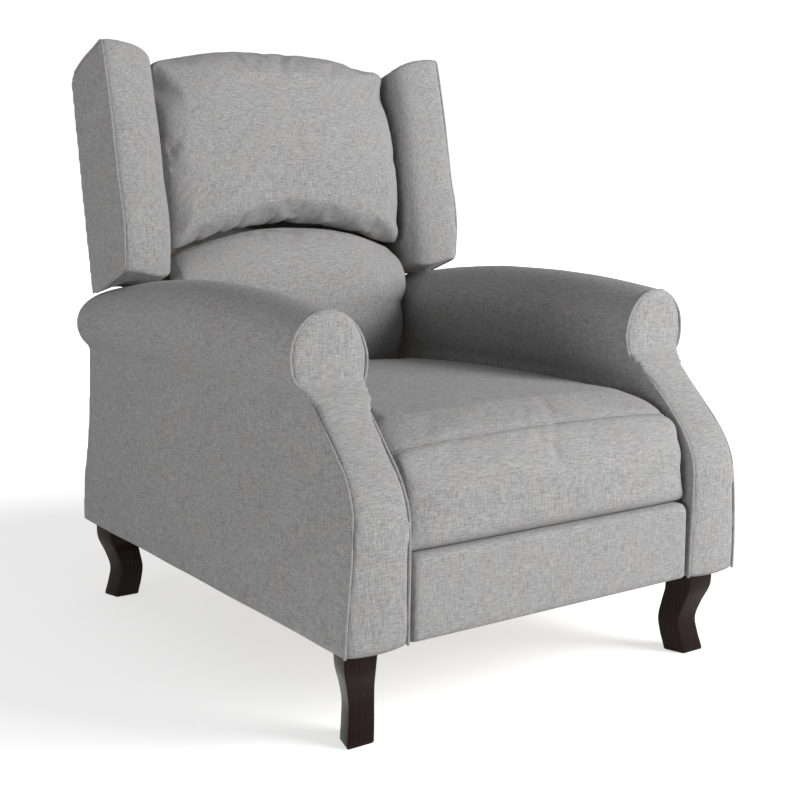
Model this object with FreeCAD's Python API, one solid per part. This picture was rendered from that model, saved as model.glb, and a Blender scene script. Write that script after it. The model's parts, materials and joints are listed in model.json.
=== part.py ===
import FreeCAD, Part
import math
import os

# Wingback recliner, millimetres. X is across the chair, the chair faces -Y, Z is up.
# The origin lies on the floor under the centre of the overall box.

# Overall places
SEAT_GAP_HALF = 274.5      # centre plane to the inner face of an arm
ARM_OUT = 380.0            # centre plane to the outer face of an arm at its base
ARM_FRONT = -472.0         # front face of the arm panels
ARM_REAR = 462.0
BASE_BOTTOM = 145.0        # underside of the upholstered base, which is the leg height

# Arm front panel, seen from the side
PANEL_BULGE = 4.0
PANEL_BREAK_Y = -448.0
PANEL_BREAK_Z = 385.0
PANEL_TOP_Y = -362.0
PANEL_TOP_Z = 480.0
PANEL_STRAIGHT_TOP = 285.0
PANEL_THICK = 14.0
ROLL_FACE_Y = -340.0

# Arm roll section at the front, x from the centre plane
SEAM_Z = 476.0             # seam under the outside of the roll
ARM_BEND_X = 376.0         # where the outer face begins to curve in
ARM_BEND_Z = 230.0
ARM_WAIST_X = 360.5
ARM_WAIST_Z = 372.0
SEAM_X = 356.0
ROLL_TOP_X = 320.0
ROLL_FRONT_TOP_Z = 600.0
ROLL_OUT_X = 379.0
ROLL_OUT_Z = 540.0
ROLL_IN_X = 253.0
ROLL_IN_Z = 533.0
ROLL_JOIN_Z = 450.0        # where the roll meets the inner face of the arm
ROLL_CENTRE_X = 316.0
ROLL_CENTRE_Z = 535.0
CROWN_Y = -22.0            # highest point of the arm top
CROWN_Z = 623.0
CROWN_RADIUS = 2326.0
ROLL_END_DROP = 34.0

# Wooden side panel inside each arm
SIDE_IN = 280.0
SIDE_THICK = 18.0
SIDE_TOP = 540.0
SIDE_FRONT = -450.0
SIDE_REAR = 446.0
LINING_BOTTOM = 300.0      # lower edge of the padding on the inner face of the arm
CUT_CLEAR = 0.5

# Welts
WELT_D = 5.5
WELT_SINK = 1.2            # how far a welt's centre lies inside the edge it follows
CORD_STEP = 0.12           # how closely the runs of a welt follow its line

# Legs: height above the floor, outward shift, width, depth
LEG_CORNER_X = 354.0
LEG_CORNER_Y = 436.0
LEG_SKEW = 10.0
LEG_TOP = (BASE_BOTTOM, 8.0, 56.0, 48.0)
LEG_KNEE = (112.0, 7.0, 52.0, 45.0)
LEG_ANKLE = (56.0, -9.0, 43.0, 37.0)
LEG_SHIN = (84.0, -2.5, 46.0, 40.0)
LEG_INSTEP = (28.0, -5.5, 44.0, 37.0)
LEG_FOOT = (0.0, 0.0, 45.0, 37.0)
LEG_BOLT_D = 8.0
LEG_BOLT_DEEP = 60.0
LEG_BLOCK_THICK = 22.0
LEG_BLOCK_SIZE = 74.0

# Base cross rails
CROSS_THICK = 20.0
CROSS_WIDE = 44.0
MID_CROSS_Y = -40.0
REAR_CROSS_Y = 415.0
SCREW_D = 5.0
SCREW_HEAD_D = 10.0
SCREW_HEAD_H = 2.5

# Side layers of the mechanism, from the side panel towards the middle
PLATE = 4.0
LAYER_GAP = 1.0
BASE_RAIL_X = 265.0
SWING_X = BASE_RAIL_X - LAYER_GAP - PLATE
SEAT_PLATE_X = SWING_X - LAYER_GAP - PLATE
D_X = SEAT_PLATE_X - LAYER_GAP - PLATE
B_X = D_X - LAYER_GAP - PLATE
C_X = B_X - LAYER_GAP - PLATE
A_X = C_X - LAYER_GAP - PLATE
HANGER_X = A_X - LAYER_GAP - PLATE
RIVET_D = 8.0
RIVET_HEAD_D = 13.0
RIVET_HEAD_H = 2.5
RIVET_FIT = 0.1            # radial play of a rivet in a link
EYE_R = 9.5                # rounded end of a link
BAR_HALF = 8.0             # half the width of a link

# Base mechanism rail
BASE_RAIL_TOP = 205.0
BASE_RAIL_FRONT = -150.0
BASE_RAIL_REAR = 375.0
BASE_PIVOT_Z = 188.0
FRONT_SWING_Y = -112.0
REAR_SWING_Y = 320.0
SWING_LENGTH = 62.0
SWING_REST = 21.0          # lean to the rear at rest, degrees

# Seat carriage
SEAT_PLATE_TOP = 298.0
SEAT_PLATE_BOTTOM = 213.0
SEAT_PLATE_FRONT = -368.0
SEAT_PLATE_REAR = 300.0
SEAT_RAIL_WIDE = 21.0
SEAT_RAIL_BOTTOM = 274.0
FRONT_RAIL_Y = -420.0
FRONT_RAIL_WIDE = 24.0
REAR_RAIL_Y = 240.0
REAR_RAIL_WIDE = 30.0

# Back pivot, rearward and low, so that the wings clear the arms
BACK_PIVOT_Y = 440.0
BACK_PIVOT_Z = 235.0
BACK_TILT = 8.9            # rake of the back at rest, degrees
BACK_EYE_R = 16.0
BACK_PIN_D = 12.0

# Footrest linkage at rest, distances in front of the centre of the box
P1_Y = -312.2
P1_Z = 261.3
P2_Y = -355.1
P2_Z = 254.4
LINK_A = 184.1
LINK_A_REST = 200.68
LINK_A_TURN = 134.04
LINK_B = 187.4
LINK_B_SPUR = 27.8
LINK_B_SPUR_ANGLE = -89.86
LINK_C = 284.5
LINK_C_REST = 6.783
LINK_C_TURN = 22.11
LINK_C_SLOT = 52.9
LINK_C_SLOT_ANGLE = -29.48
LINK_D_BOW = 13.0
BRACKET_DY = 25.3
BRACKET_DZ = 25.3
SLOT_CLEAR = 0.5
OPEN_EYE_CLEAR = 0.9       # radial play at the opened pivot of link D
TUBE_D = 18.0
TUBE_WALL = 1.5
TUBE_FIT = 0.1            # radial play of the tube in its hangers

# Footrest board and padding
BOARD_HALF = 266.0
BOARD_TOP = 266.0
BOARD_BOTTOM = 152.0
BOARD_THICK = 15.0
FOOT_PAD_HALF = 269.5
FOOT_PAD_TOP = 272.0
FOOT_PAD_BOTTOM = 145.0
FOOT_PAD_FRONT = ARM_FRONT
FOOT_PAD_THICK = 20.0
FOOT_PAD_CORNER = 14.0
FOOT_PAD_BULGE = 3.0

# Seat cushion
CUSHION_HALF = 271.5
CUSHION_CROWN_Z = 449.0
CUSHION_SIDE_Z = 436.0
CUSHION_SEAM_Y = -425.0
CUSHION_SEAM_Z = 420.0
CUSHION_SEAM_DROP = 15.0
CUSHION_NOSE_Y = -478.0
CUSHION_NOSE_Z = 340.0
CUSHION_LOWER_Y = -434.0
CUSHION_BOTTOM = 276.0
CUSHION_LIP_Y = -424.0
CUSHION_REAR_Y = 262.0

# Back, with heights along the rake
LUMBAR_HALF = 249.0
LUMBAR_BOTTOM = 404.0
LUMBAR_FACE = 252.0        # y of the face at its fullest
LUMBAR_SIDE_SET = 38.0     # how far the face falls back at the sides
HEAD_HALF = 258.0
HEAD_TOP = 1032.0
HEAD_TOP_DROP = 34.0
HEAD_UNDER = 78.0          # thickness of the head cushion where it folds over the frame
ARCH_TOP = 695.0           # seam between the two back cushions
ARCH_DROP = 46.0
ARCH_GAP = 1.0
WING_OUT = 360.0
WING_IN = 262.0
WING_FRONT_Y = 260.0       # front face of the wings at WING_FOOT_Z
WING_FOOT_Z = 627.0
WING_TOP_Z = 1024.0
WING_PANEL_THICK = 15.0
WING_PANEL_INSET = 26.0
BACK_REAR_UP_Y = 480.0     # rear face near the top
BACK_REAR_UP_Z = 947.0
BACK_REAR_LOW_Y = 421.0    # rear face at the bottom of the wings
BACK_REAR_LOW_Z = 569.0
BACK_SKIN = 14.0           # thickness of the outside back
BACK_SKIN_BOTTOM = 216.0
SKIN_TOP = 959.0
BACK_CORE_HALF = 245.0
POST_WIDE = 34.0
POST_DEEP = 44.0
ROLL_CLEAR = 6.0           # gap between the wings and the arm rolls
SOFT_GAP = 0.4

# Springs
SPRING_D = 3.6
SPRING_COUNT = 4
SPRING_BENDS = 22
SPRING_HALF_WIDE = 20.0
SPRING_PITCH = 115.0
SPRING_STEPS = 6           # straight pieces in a bend

V = FreeCAD.Vector
ACROSS = V(1, 0, 0)
parts = {}


def rad(a):
    return math.radians(a)


def pt(plane, a, b, c):
    """A point from two in-plane values and the place of the plane."""
    if plane == "yz":
        return V(c, a, b)
    if plane == "xz":
        return V(a, c, b)
    return V(a, b, c)


def outline(plane, c, items):
    """Closed wire. An item is a point, or a pair of points: the middle and end of an arc."""
    first = items[0]
    here = first
    edges = []
    for item in items[1:] + [first]:
        if isinstance(item[0], tuple):
            mid, end = item
            edges.append(Part.Arc(pt(plane, *here, c), pt(plane, *mid, c), pt(plane, *end, c)).toShape())
            here = end
        else:
            if math.hypot(item[0] - here[0], item[1] - here[1]) > 1e-6:
                edges.append(Part.LineSegment(pt(plane, *here, c), pt(plane, *item, c)).toShape())
            here = item
    return Part.Wire(edges)


def prism(plane, items, c0, c1):
    """Solid between two places of a plane."""
    step = {"yz": V(c1 - c0, 0, 0), "xz": V(0, c1 - c0, 0), "xy": V(0, 0, c1 - c0)}[plane]
    return Part.Face(outline(plane, c0, items)).extrude(step)


def box(x0, x1, y0, y1, z0, z1):
    return Part.makeBox(x1 - x0, y1 - y0, z1 - z0, V(x0, y0, z0))


def rod_x(y, z, d, x0, x1):
    return Part.makeCylinder(d / 2.0, x1 - x0, V(x0, y, z), V(1, 0, 0))


def loft(wires):
    return Part.makeLoft(wires, True, False)


def mirror(shape):
    return shape.mirror(V(0, 0, 0), V(1, 0, 0))


def add(name, *shapes):
    """Stores the solids of one node."""
    solids = []
    for shape in shapes:
        solids += shape.Solids
    parts[name] = solids


def largest(shape):
    """The main solid of a cut, without the slivers that it leaves."""
    return max(shape.Solids, key=lambda s: s.Volume)


def both(name, shape, join=False):
    """Stores a piece of the +X side and its mirror image, in one node or in two."""
    if join:
        add(name, shape, mirror(shape))
    else:
        add("right_" + name, shape)
        add("left_" + name, mirror(shape))


# Arm shell
def crown(y, drop=0.0):
    return CROWN_Z - (y - CROWN_Y) ** 2 / (2 * CROWN_RADIUS) - drop


def arm_section(y, grow=0.0):
    """Section of an arm across the chair; the roll is stretched to the crown of the arm."""
    k = (crown(y) - SEAM_Z) / (ROLL_FRONT_TOP_Z - SEAM_Z)

    def roll(x, z):
        dx = x - ROLL_CENTRE_X
        dz = z - ROLL_CENTRE_Z
        r = math.hypot(dx, dz)
        z = SEAM_Z + (z - SEAM_Z) * k
        return (x + grow * dx / r, z + grow * dz / r)

    return outline("xz", y, [
        (ARM_OUT + grow, BASE_BOTTOM),
        (ARM_BEND_X + grow, ARM_BEND_Z),
        ((ARM_WAIST_X + grow, ARM_WAIST_Z), roll(SEAM_X, SEAM_Z)),
        (roll(374.5, 503.0), roll(ROLL_OUT_X, ROLL_OUT_Z)),
        (roll(362.5, 581.0), roll(ROLL_TOP_X, ROLL_FRONT_TOP_Z)),
        (roll(276.0, 582.0), roll(ROLL_IN_X, ROLL_IN_Z)),
        (roll(258.0, 495.0), (SEAT_GAP_HALF - grow, ROLL_JOIN_Z)),
        (SEAT_GAP_HALF - grow, BASE_BOTTOM)])


def arm_side_x(z):
    """Outer face of an arm at a height."""
    if z < ARM_BEND_Z:
        return ARM_OUT + (ARM_BEND_X - ARM_OUT) * (z - BASE_BOTTOM) / (ARM_BEND_Z - BASE_BOTTOM)
    arc = Part.Circle(V(ARM_BEND_X, ARM_BEND_Z, 0), V(ARM_WAIST_X, ARM_WAIST_Z, 0), V(SEAM_X, SEAM_Z, 0))
    return arc.Center.x - math.sqrt(arc.Radius ** 2 - (z - arc.Center.y) ** 2)


def arm_body(grow=0.0):
    stations = [ARM_FRONT - 12, ROLL_FACE_Y, -200.0, -50.0, 100.0, 250.0, 380.0, ARM_REAR + 8]
    return loft([arm_section(y, grow) for y in stations])


def arm_side_view(shift=0.0):
    """Side outline of an arm: S-shaped front panel, front of the roll and rounded rear end."""
    top = CROWN_Z + 30
    return [
        (ARM_FRONT + shift, BASE_BOTTOM - 1),
        (ARM_FRONT - PANEL_BULGE + shift, PANEL_STRAIGHT_TOP),
        ((ARM_FRONT - 1.5 + shift, 338.0), (PANEL_BREAK_Y + shift, PANEL_BREAK_Z)),
        (PANEL_TOP_Y + shift, PANEL_TOP_Z),
        (ROLL_FACE_Y + shift, PANEL_TOP_Z + 20),
        (ROLL_FACE_Y + shift, top),
        (ARM_REAR - ROLL_END_DROP, top),
        (ARM_REAR - ROLL_END_DROP, crown(ARM_REAR - ROLL_END_DROP)),
        ((ARM_REAR - 8, crown(ARM_REAR) - 12), (ARM_REAR, crown(ARM_REAR) - ROLL_END_DROP)),
        (ARM_REAR, BASE_BOTTOM - 1)]


arm = arm_body().common(prism("yz", arm_side_view(), 200.0, 420.0))
side_outline = [(SIDE_FRONT, BASE_BOTTOM), (SIDE_FRONT, PANEL_BREAK_Z - 25),
                (ROLL_FACE_Y + 22, SEAM_Z - 10), (ROLL_FACE_Y + 22, SIDE_TOP),
                (SIDE_REAR - 20, SIDE_TOP - 4), (SIDE_REAR, BASE_BOTTOM)]
side_panel = prism("yz", side_outline, SIDE_IN, SIDE_IN + SIDE_THICK)
arm = arm.cut(side_panel)
arm = arm.cut(box(SEAT_GAP_HALF - 5, SIDE_IN, SIDE_FRONT, ARM_REAR + 5, BASE_BOTTOM - 1, LINING_BOTTOM))
behind_front = prism("yz", arm_side_view(PANEL_THICK), 200.0, 420.0)
front_panel = arm.cut(behind_front).common(box(200, 420, -600, PANEL_TOP_Y + 24, 100, SEAM_Z + 14))
rest = arm.cut(front_panel)
below_seam = box(200, 420, -600, 600, 100, SEAM_Z)
both("arm_front_panel", largest(front_panel))
both("arm_side", largest(rest.common(below_seam)))
both("arm_roll", largest(rest.cut(below_seam)))


def ring(at, along, ref, across):
    """Circle across a line, turned so that its start points along ref."""
    circle = Part.Circle(V(0, 0, 0), V(0, 0, 1), across / 2).toShape()
    circle.Placement = FreeCAD.Placement(at, FreeCAD.Rotation(ref, V(0, 0, 0), along, "ZXY"))
    return Part.Wire([circle])


def cord(points, ref):
    """Round welt along a smooth line through points, with ref across the line."""
    line = Part.BSplineCurve()
    line.interpolate([V(*p) for p in points])
    stops = line.toShape().discretize(QuasiDeflection=CORD_STEP)
    rings = [ring(p, line.tangent(line.parameter(p))[0], ref, WELT_D) for p in stops]
    return Part.makeLoft(rings, True, True)


def between(a, b, shares):
    """Points on the straight run from a to b."""
    return [tuple(u + (v - u) * s for u, v in zip(a, b)) for s in shares]


def roll_point(x, z):
    return (x, ROLL_FACE_Y + WELT_SINK, z)


welt_out = ARM_OUT - WELT_SINK
welt_in = SEAT_GAP_HALF + WELT_SINK
welt_y = ARM_FRONT + WELT_SINK
panel_top = (SEAM_X, PANEL_TOP_Y + WELT_SINK, PANEL_TOP_Z)
panel_break = (arm_side_x(PANEL_BREAK_Z) - WELT_SINK, PANEL_BREAK_Y + WELT_SINK, PANEL_BREAK_Z)
outer_places = [(PANEL_STRAIGHT_TOP, -PANEL_BULGE), (312.0, -4.0), (338.0, -1.5), (363.0, 8.0)]
outer_low = (welt_out, welt_y, BASE_BOTTOM + 3)
outer_bend = (ARM_BEND_X - WELT_SINK, welt_y - 2.4, ARM_BEND_Z)
outer_welt = cord([outer_low] + between(outer_low, outer_bend, (0.5, 1.0))
                  + [(arm_side_x(z) - WELT_SINK, welt_y + dy, z) for z, dy in outer_places]
                  + between(panel_break, panel_top, (0.04, 0.3, 0.65, 1.0)), ACROSS)
inner_low = (welt_in, welt_y, BASE_BOTTOM + 3)
inner_straight = (welt_in, welt_y - PANEL_BULGE, PANEL_STRAIGHT_TOP)
inner_break = (welt_in, PANEL_BREAK_Y + WELT_SINK, PANEL_BREAK_Z)
inner_top = (welt_in, PANEL_TOP_Y - 16 + WELT_SINK, PANEL_TOP_Z - 16)
inner_welt = cord([inner_low] + between(inner_low, inner_straight, (0.35, 0.7, 1.0))
                  + [(welt_in, welt_y - 4.0, 312.0), (welt_in, welt_y - 1.5, 338.0),
                     (welt_in, welt_y + 8.0, 363.0)]
                  + between(inner_break, inner_top, (0.04, 0.3, 0.65, 1.0)), ACROSS)
ring_welt = cord([roll_point(SEAM_X + 5, SEAM_Z + 12), roll_point(375.0, 508.0),
                  roll_point(ROLL_OUT_X - 0.6, ROLL_OUT_Z), roll_point(362.0, 580.5),
                  roll_point(ROLL_TOP_X, ROLL_FRONT_TOP_Z - 0.6), roll_point(276.5, 581.5),
                  roll_point(ROLL_IN_X + 0.6, ROLL_IN_Z), roll_point(257.0, 510.0),
                  roll_point(263.5, 490.0)], V(0, 1, 0))
seam_welt = Part.makeCylinder(WELT_D / 2, ARM_REAR - 6 - ROLL_FACE_Y - 4,
                              V(SEAM_X, ROLL_FACE_Y + 4, SEAM_Z + 0.7), V(0, 1, 0))
arm_welts = [outer_welt, inner_welt, ring_welt, seam_welt]
add("arm_welts", *(arm_welts + [mirror(w) for w in arm_welts]))
for side_name, move in (("right_", lambda s: s), ("left_", mirror)):
    for piece in ("arm_side", "arm_front_panel", "arm_roll"):
        for w in arm_welts:
            parts[side_name + piece] = [largest(parts[side_name + piece][0].cut(move(w)))]


# Legs
def leg_section(z, out, wide, deep):
    x = LEG_CORNER_X + out
    y = -LEG_CORNER_Y - out
    return outline("xy", z, [
        (x, y), (x - LEG_SKEW, y + deep), (x - LEG_SKEW - wide, y + deep), (x - wide, y)])


leg_stations = (LEG_FOOT, LEG_INSTEP, LEG_ANKLE, LEG_SHIN, LEG_KNEE, LEG_TOP)
leg = loft([leg_section(*s) for s in leg_stations])
bolt_x = LEG_CORNER_X + LEG_TOP[1] - LEG_SKEW / 2 - LEG_TOP[2] / 2
bolt_y = -LEG_CORNER_Y - LEG_TOP[1] + LEG_TOP[3] / 2
leg_bolt = Part.makeCylinder(LEG_BOLT_D / 2, LEG_BOLT_DEEP + LEG_BLOCK_THICK,
                             V(bolt_x, bolt_y, BASE_BOTTOM - LEG_BOLT_DEEP), V(0, 0, 1))
leg = leg.cut(leg_bolt)
block_x0 = SIDE_IN + SIDE_THICK
block_space = box(block_x0, block_x0 + LEG_BLOCK_SIZE, bolt_y - 31, bolt_y + 43,
                  BASE_BOTTOM, BASE_BOTTOM + LEG_BLOCK_THICK)
leg_block = block_space.cut(leg_bolt)


def turn_y(shape):
    return shape.mirror(V(0, 0, 0), V(0, 1, 0))


both("front_leg", leg)
both("rear_leg", turn_y(leg))
add("leg_bolts", leg_bolt, mirror(leg_bolt), turn_y(leg_bolt), mirror(turn_y(leg_bolt)))
add("leg_blocks", leg_block, mirror(leg_block), turn_y(leg_block), mirror(turn_y(leg_block)))
blocks = Part.makeCompound([block_space, turn_y(block_space)])
for side_name, move in (("right_", lambda s: s), ("left_", mirror)):
    for piece in ("arm_side", "arm_front_panel"):
        parts[side_name + piece] = [largest(parts[side_name + piece][0].cut(move(blocks)))]

# Base cross rails and mechanism rails
cross_top = BASE_BOTTOM + 2 + CROSS_THICK


def cross_rail(y):
    return box(-SIDE_IN, SIDE_IN, y - CROSS_WIDE / 2, y + CROSS_WIDE / 2, BASE_BOTTOM + 2, cross_top)


add("base_mid_rail", cross_rail(MID_CROSS_Y))
add("base_rear_rail", cross_rail(REAR_CROSS_Y))

rail_bottom = cross_top
base_rail = box(BASE_RAIL_X, SIDE_IN, BASE_RAIL_FRONT, BASE_RAIL_REAR, rail_bottom, BASE_RAIL_TOP)
base_rail = base_rail.cut(box(BASE_RAIL_X + PLATE, SIDE_IN - PLATE, BASE_RAIL_FRONT - 1, BASE_RAIL_REAR + 1,
                              rail_bottom + PLATE, BASE_RAIL_TOP + 1))
rail_screw_ys = [BASE_RAIL_FRONT + 30, (BASE_RAIL_FRONT + BASE_RAIL_REAR) / 2, BASE_RAIL_REAR - 30]
screws = []
for y in rail_screw_ys:
    z = BASE_RAIL_TOP - 14
    shank = rod_x(y, z, SCREW_D, SIDE_IN - PLATE, SIDE_IN + SIDE_THICK - 2)
    head = rod_x(y, z, SCREW_HEAD_D, SIDE_IN - PLATE - SCREW_HEAD_H, SIDE_IN - PLATE)
    screws.append(shank.fuse(head).removeSplitter())
for y in (FRONT_SWING_Y, REAR_SWING_Y):
    base_rail = base_rail.cut(rod_x(y, BASE_PIVOT_Z, RIVET_D, BASE_RAIL_X - 1, BASE_RAIL_X + PLATE + 1))
for s in screws:
    base_rail = base_rail.cut(s)
    side_panel = side_panel.cut(s)
both("base_rail", base_rail)
both("side_panel", side_panel)
add("base_rail_screws", *(screws + [mirror(s) for s in screws]))


# Links
def rivet(y, z, x0, x1, head_low=True, head_high=True):
    """Rivet across layers x0 to x1 with a head outside each end that has room for one."""
    body = rod_x(y, z, RIVET_D, x0, x1)
    if head_low:
        body = body.fuse(rod_x(y, z, RIVET_HEAD_D, x0 - RIVET_HEAD_H, x0))
    if head_high:
        body = body.fuse(rod_x(y, z, RIVET_HEAD_D, x1, x1 + RIVET_HEAD_H))
    return body.removeSplitter()


def bar(points, x0, half=BAR_HALF, eye=EYE_R, skip=()):
    """Flat link with round ends through points, without the pivot holes."""
    body = None
    for i, (y, z) in enumerate(points):
        if i not in skip:
            disc = rod_x(y, z, 2 * eye, x0, x0 + PLATE)
            body = disc if body is None else body.fuse(disc)
        else:
            body = body.fuse(rod_x(y, z, 2 * half, x0, x0 + PLATE))
        if i:
            py, pz = points[i - 1]
            length = math.hypot(y - py, z - pz)
            ny = -(z - pz) / length * half
            nz = (y - py) / length * half
            body = body.fuse(prism("yz", [(py + ny, pz + nz), (y + ny, z + nz),
                                          (y - ny, z - nz), (py - ny, pz - nz)], x0, x0 + PLATE))
    return body.removeSplitter()


def hole(shape, y, z, x0, d=RIVET_D + 2 * RIVET_FIT):
    return shape.cut(rod_x(y, z, d, x0 - 1, x0 + PLATE + 1))


swing_dy = SWING_LENGTH * math.sin(rad(SWING_REST))
swing_dz = SWING_LENGTH * math.cos(rad(SWING_REST))
seat_pivots = []
base_rivets = []
seat_rivets = []
for name, y in (("front", FRONT_SWING_Y), ("rear", REAR_SWING_Y)):
    top = (y + swing_dy, BASE_PIVOT_Z + swing_dz)
    seat_pivots.append(top)
    link = bar([(y, BASE_PIVOT_Z), top], SWING_X)
    link = hole(link, y, BASE_PIVOT_Z, SWING_X)
    link = hole(link, top[0], top[1], SWING_X)
    low_rivet = rivet(y, BASE_PIVOT_Z, SWING_X, BASE_RAIL_X + PLATE, head_low=False)
    top_rivet = rivet(top[0], top[1], SEAT_PLATE_X, SWING_X + PLATE, head_high=False)
    both(name + "_swing_links", link, join=True)
    base_rivets += [low_rivet, mirror(low_rivet)]
    seat_rivets += [top_rivet, mirror(top_rivet)]
add("swing_base_rivets", *base_rivets)

# Footrest linkage, worked out in the side plane: u is forward, so y = -u
def ahead(origin, length, angle):
    return (origin[0] - length * math.cos(rad(angle)), origin[1] + length * math.sin(rad(angle)))


def pose(t):
    """Joint places at a share t of the travel, with every link at a constant ratio."""
    p1 = (P1_Y, P1_Z)
    p2 = (P2_Y, P2_Z)
    q1 = ahead(p1, LINK_A, LINK_A_REST + t * LINK_A_TURN)
    q2 = ahead(p2, LINK_B, b_rest + t * b_turn)
    q3 = ahead(q2, LINK_B_SPUR, b_rest + LINK_B_SPUR_ANGLE + t * b_turn)
    r1 = ahead(q1, LINK_C, LINK_C_REST + t * LINK_C_TURN)
    return p1, p2, q1, q2, q3, r1


def slot_centre(t):
    q1 = ahead((P1_Y, P1_Z), LINK_A, LINK_A_REST + t * LINK_A_TURN)
    return ahead(q1, LINK_C_SLOT, LINK_C_REST + LINK_C_SLOT_ANGLE + t * LINK_C_TURN)


def bearing(a, b):
    return math.degrees(math.atan2(b[1] - a[1], -(b[0] - a[0])))


b_rest = bearing((P2_Y, P2_Z), slot_centre(0.0))
b_end = bearing((P2_Y, P2_Z), slot_centre(1.0))
b_rest += 360 if b_rest < 0 else 0
b_end += 360 if b_end < b_rest else 0
b_turn = b_end - b_rest
P1, P2, Q1, Q2, Q3, R1 = pose(0.0)
R2 = (R1[0] + BRACKET_DY, R1[1] + BRACKET_DZ)


def pin_in_c(t):
    """Place of the pin of link B as link C sees it, drawn at rest."""
    _, _, q1, q2, _, _ = pose(t)
    turn = rad(-t * LINK_C_TURN)
    du = -(q2[0] - q1[0])
    dz = q2[1] - q1[1]
    u = du * math.cos(turn) - dz * math.sin(turn)
    z = du * math.sin(turn) + dz * math.cos(turn)
    return (Q1[0] - u, Q1[1] + z)


link_a = bar([P1, Q1], A_X, eye=TUBE_D / 2 + 1)
link_a = hole(link_a, Q1[0], Q1[1], A_X, RIVET_D)
b_bar = bar([P2, Q2, Q3], B_X)
b_bar = hole(b_bar, P2[0], P2[1], B_X)
b_bar = b_bar.cut(rod_x(Q2[0], Q2[1], RIVET_D, B_X - 1, B_X + PLATE + 1))
b_bar = b_bar.cut(rod_x(Q3[0], Q3[1], RIVET_D, B_X - 1, B_X + PLATE + 1))
slot_mid = slot_centre(0.0)
link_c = bar([Q1, slot_mid, R1], C_X, skip=(1,))
link_c = link_c.fuse(rod_x(slot_mid[0], slot_mid[1], 2 * (EYE_R + 4), C_X, C_X + PLATE))
link_c = hole(link_c, Q1[0], Q1[1], C_X)
link_c = hole(link_c, R1[0], R1[1], C_X)
SLOT_STEPS = 24
slot_r = RIVET_D / 2 + SLOT_CLEAR
track = [pin_in_c(i / SLOT_STEPS) for i in range(SLOT_STEPS + 1)]
for y, z in track:
    link_c = link_c.cut(rod_x(y, z, 2 * slot_r, C_X - 1, C_X + PLATE + 1))
d_bow = ((Q3[0] + R2[0]) / 2 - 45, (Q3[1] + R2[1]) / 2 - LINK_D_BOW)
link_d = bar([Q3, d_bow, R2], D_X, half=7.0, eye=EYE_R, skip=(1,))
link_d = hole(link_d, Q3[0], Q3[1], D_X)
link_d = hole(link_d, R2[0], R2[1], D_X, RIVET_D + 2 * OPEN_EYE_CLEAR)

tube = rod_x(P1[0], P1[1], TUBE_D, -A_X, A_X)
tube = tube.cut(rod_x(P1[0], P1[1], TUBE_D - 2 * TUBE_WALL, -A_X - 1, A_X + 1))
a_rivet = rivet(Q1[0], Q1[1], A_X, C_X + PLATE, head_high=False)
p2_rivet = rivet(P2[0], P2[1], B_X, SEAT_PLATE_X + PLATE, head_high=False)
slot_rivet = rod_x(Q2[0], Q2[1], RIVET_D, C_X - 0.6, B_X + PLATE)
slot_rivet = slot_rivet.fuse(rod_x(Q2[0], Q2[1], 20.0, C_X - 0.6 - 2.0, C_X - 0.6)).removeSplitter()
b_rivet = rivet(Q3[0], Q3[1], B_X, D_X + PLATE, head_low=False)
r1_rivet = rivet(R1[0], R1[1], C_X, B_X + PLATE, head_high=False)
r2_rivet = rivet(R2[0], R2[1], B_X, D_X + PLATE, head_low=False)

both("drive_links", link_a, join=True)
add("torque_tube", tube)
both("control_links", b_bar, join=True)
both("carrier_links", link_c, join=True)
both("tilt_links", link_d, join=True)
both("drive_link_rivets", a_rivet, join=True)
add("control_link_rivets", slot_rivet, mirror(slot_rivet), b_rivet, mirror(b_rivet))
add("footrest_rivets", r1_rivet, mirror(r1_rivet), r2_rivet, mirror(r2_rivet))

# Footrest board, padding and brackets
board_front = FOOT_PAD_FRONT + FOOT_PAD_THICK
board_back = board_front + BOARD_THICK
bracket = bar([R1, R2], B_X)
bracket = bracket.fuse(box(B_X, B_X + PLATE, board_back, R1[0] + 2, R1[1] - EYE_R, R1[1] + EYE_R))
bracket = bracket.fuse(box(B_X - 22, B_X + PLATE, board_back, board_back + 3, R1[1] - 34, R1[1] + 24))
bracket = bracket.removeSplitter()
bracket = bracket.cut(rod_x(R1[0], R1[1], RIVET_D, B_X - 1, B_X + PLATE + 1))
bracket = bracket.cut(rod_x(R2[0], R2[1], RIVET_D, B_X - 1, B_X + PLATE + 1))
board = box(-BOARD_HALF, BOARD_HALF, board_front, board_back, BOARD_BOTTOM, BOARD_TOP)
board_screws = []
for z in (R1[1] - 26, R1[1] + 16):
    at = V(B_X - 14, board_back + 3, z)
    shank = Part.makeCylinder(SCREW_D / 2, 13, at, V(0, -1, 0))
    head = Part.makeCylinder(SCREW_HEAD_D / 2, SCREW_HEAD_H, at, V(0, 1, 0))
    board_screws.append(shank.fuse(head).removeSplitter())
for s in board_screws:
    bracket = bracket.cut(s)
    board = board.cut(s).cut(mirror(s))
both("footrest_brackets", bracket, join=True)
add("footrest_screws", *(board_screws + [mirror(s) for s in board_screws]))
add("footrest_board", board)


def pad_items(inset):
    """Outline of the padding with its rounded top corners, drawn in by inset."""
    k = FOOT_PAD_CORNER
    d = k * (1 - math.sqrt(0.5))
    a = FOOT_PAD_HALF - inset
    top = FOOT_PAD_TOP - inset
    low = FOOT_PAD_BOTTOM + inset
    return [(-a, low), (-a, top - k), ((-a + d, top - d), (-a + k, top)), (a - k, top),
            ((a - d, top - d), (a, top - k)), (a, low)]


def pad_outline(y, inset):
    return outline("xz", y, pad_items(inset))


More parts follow.
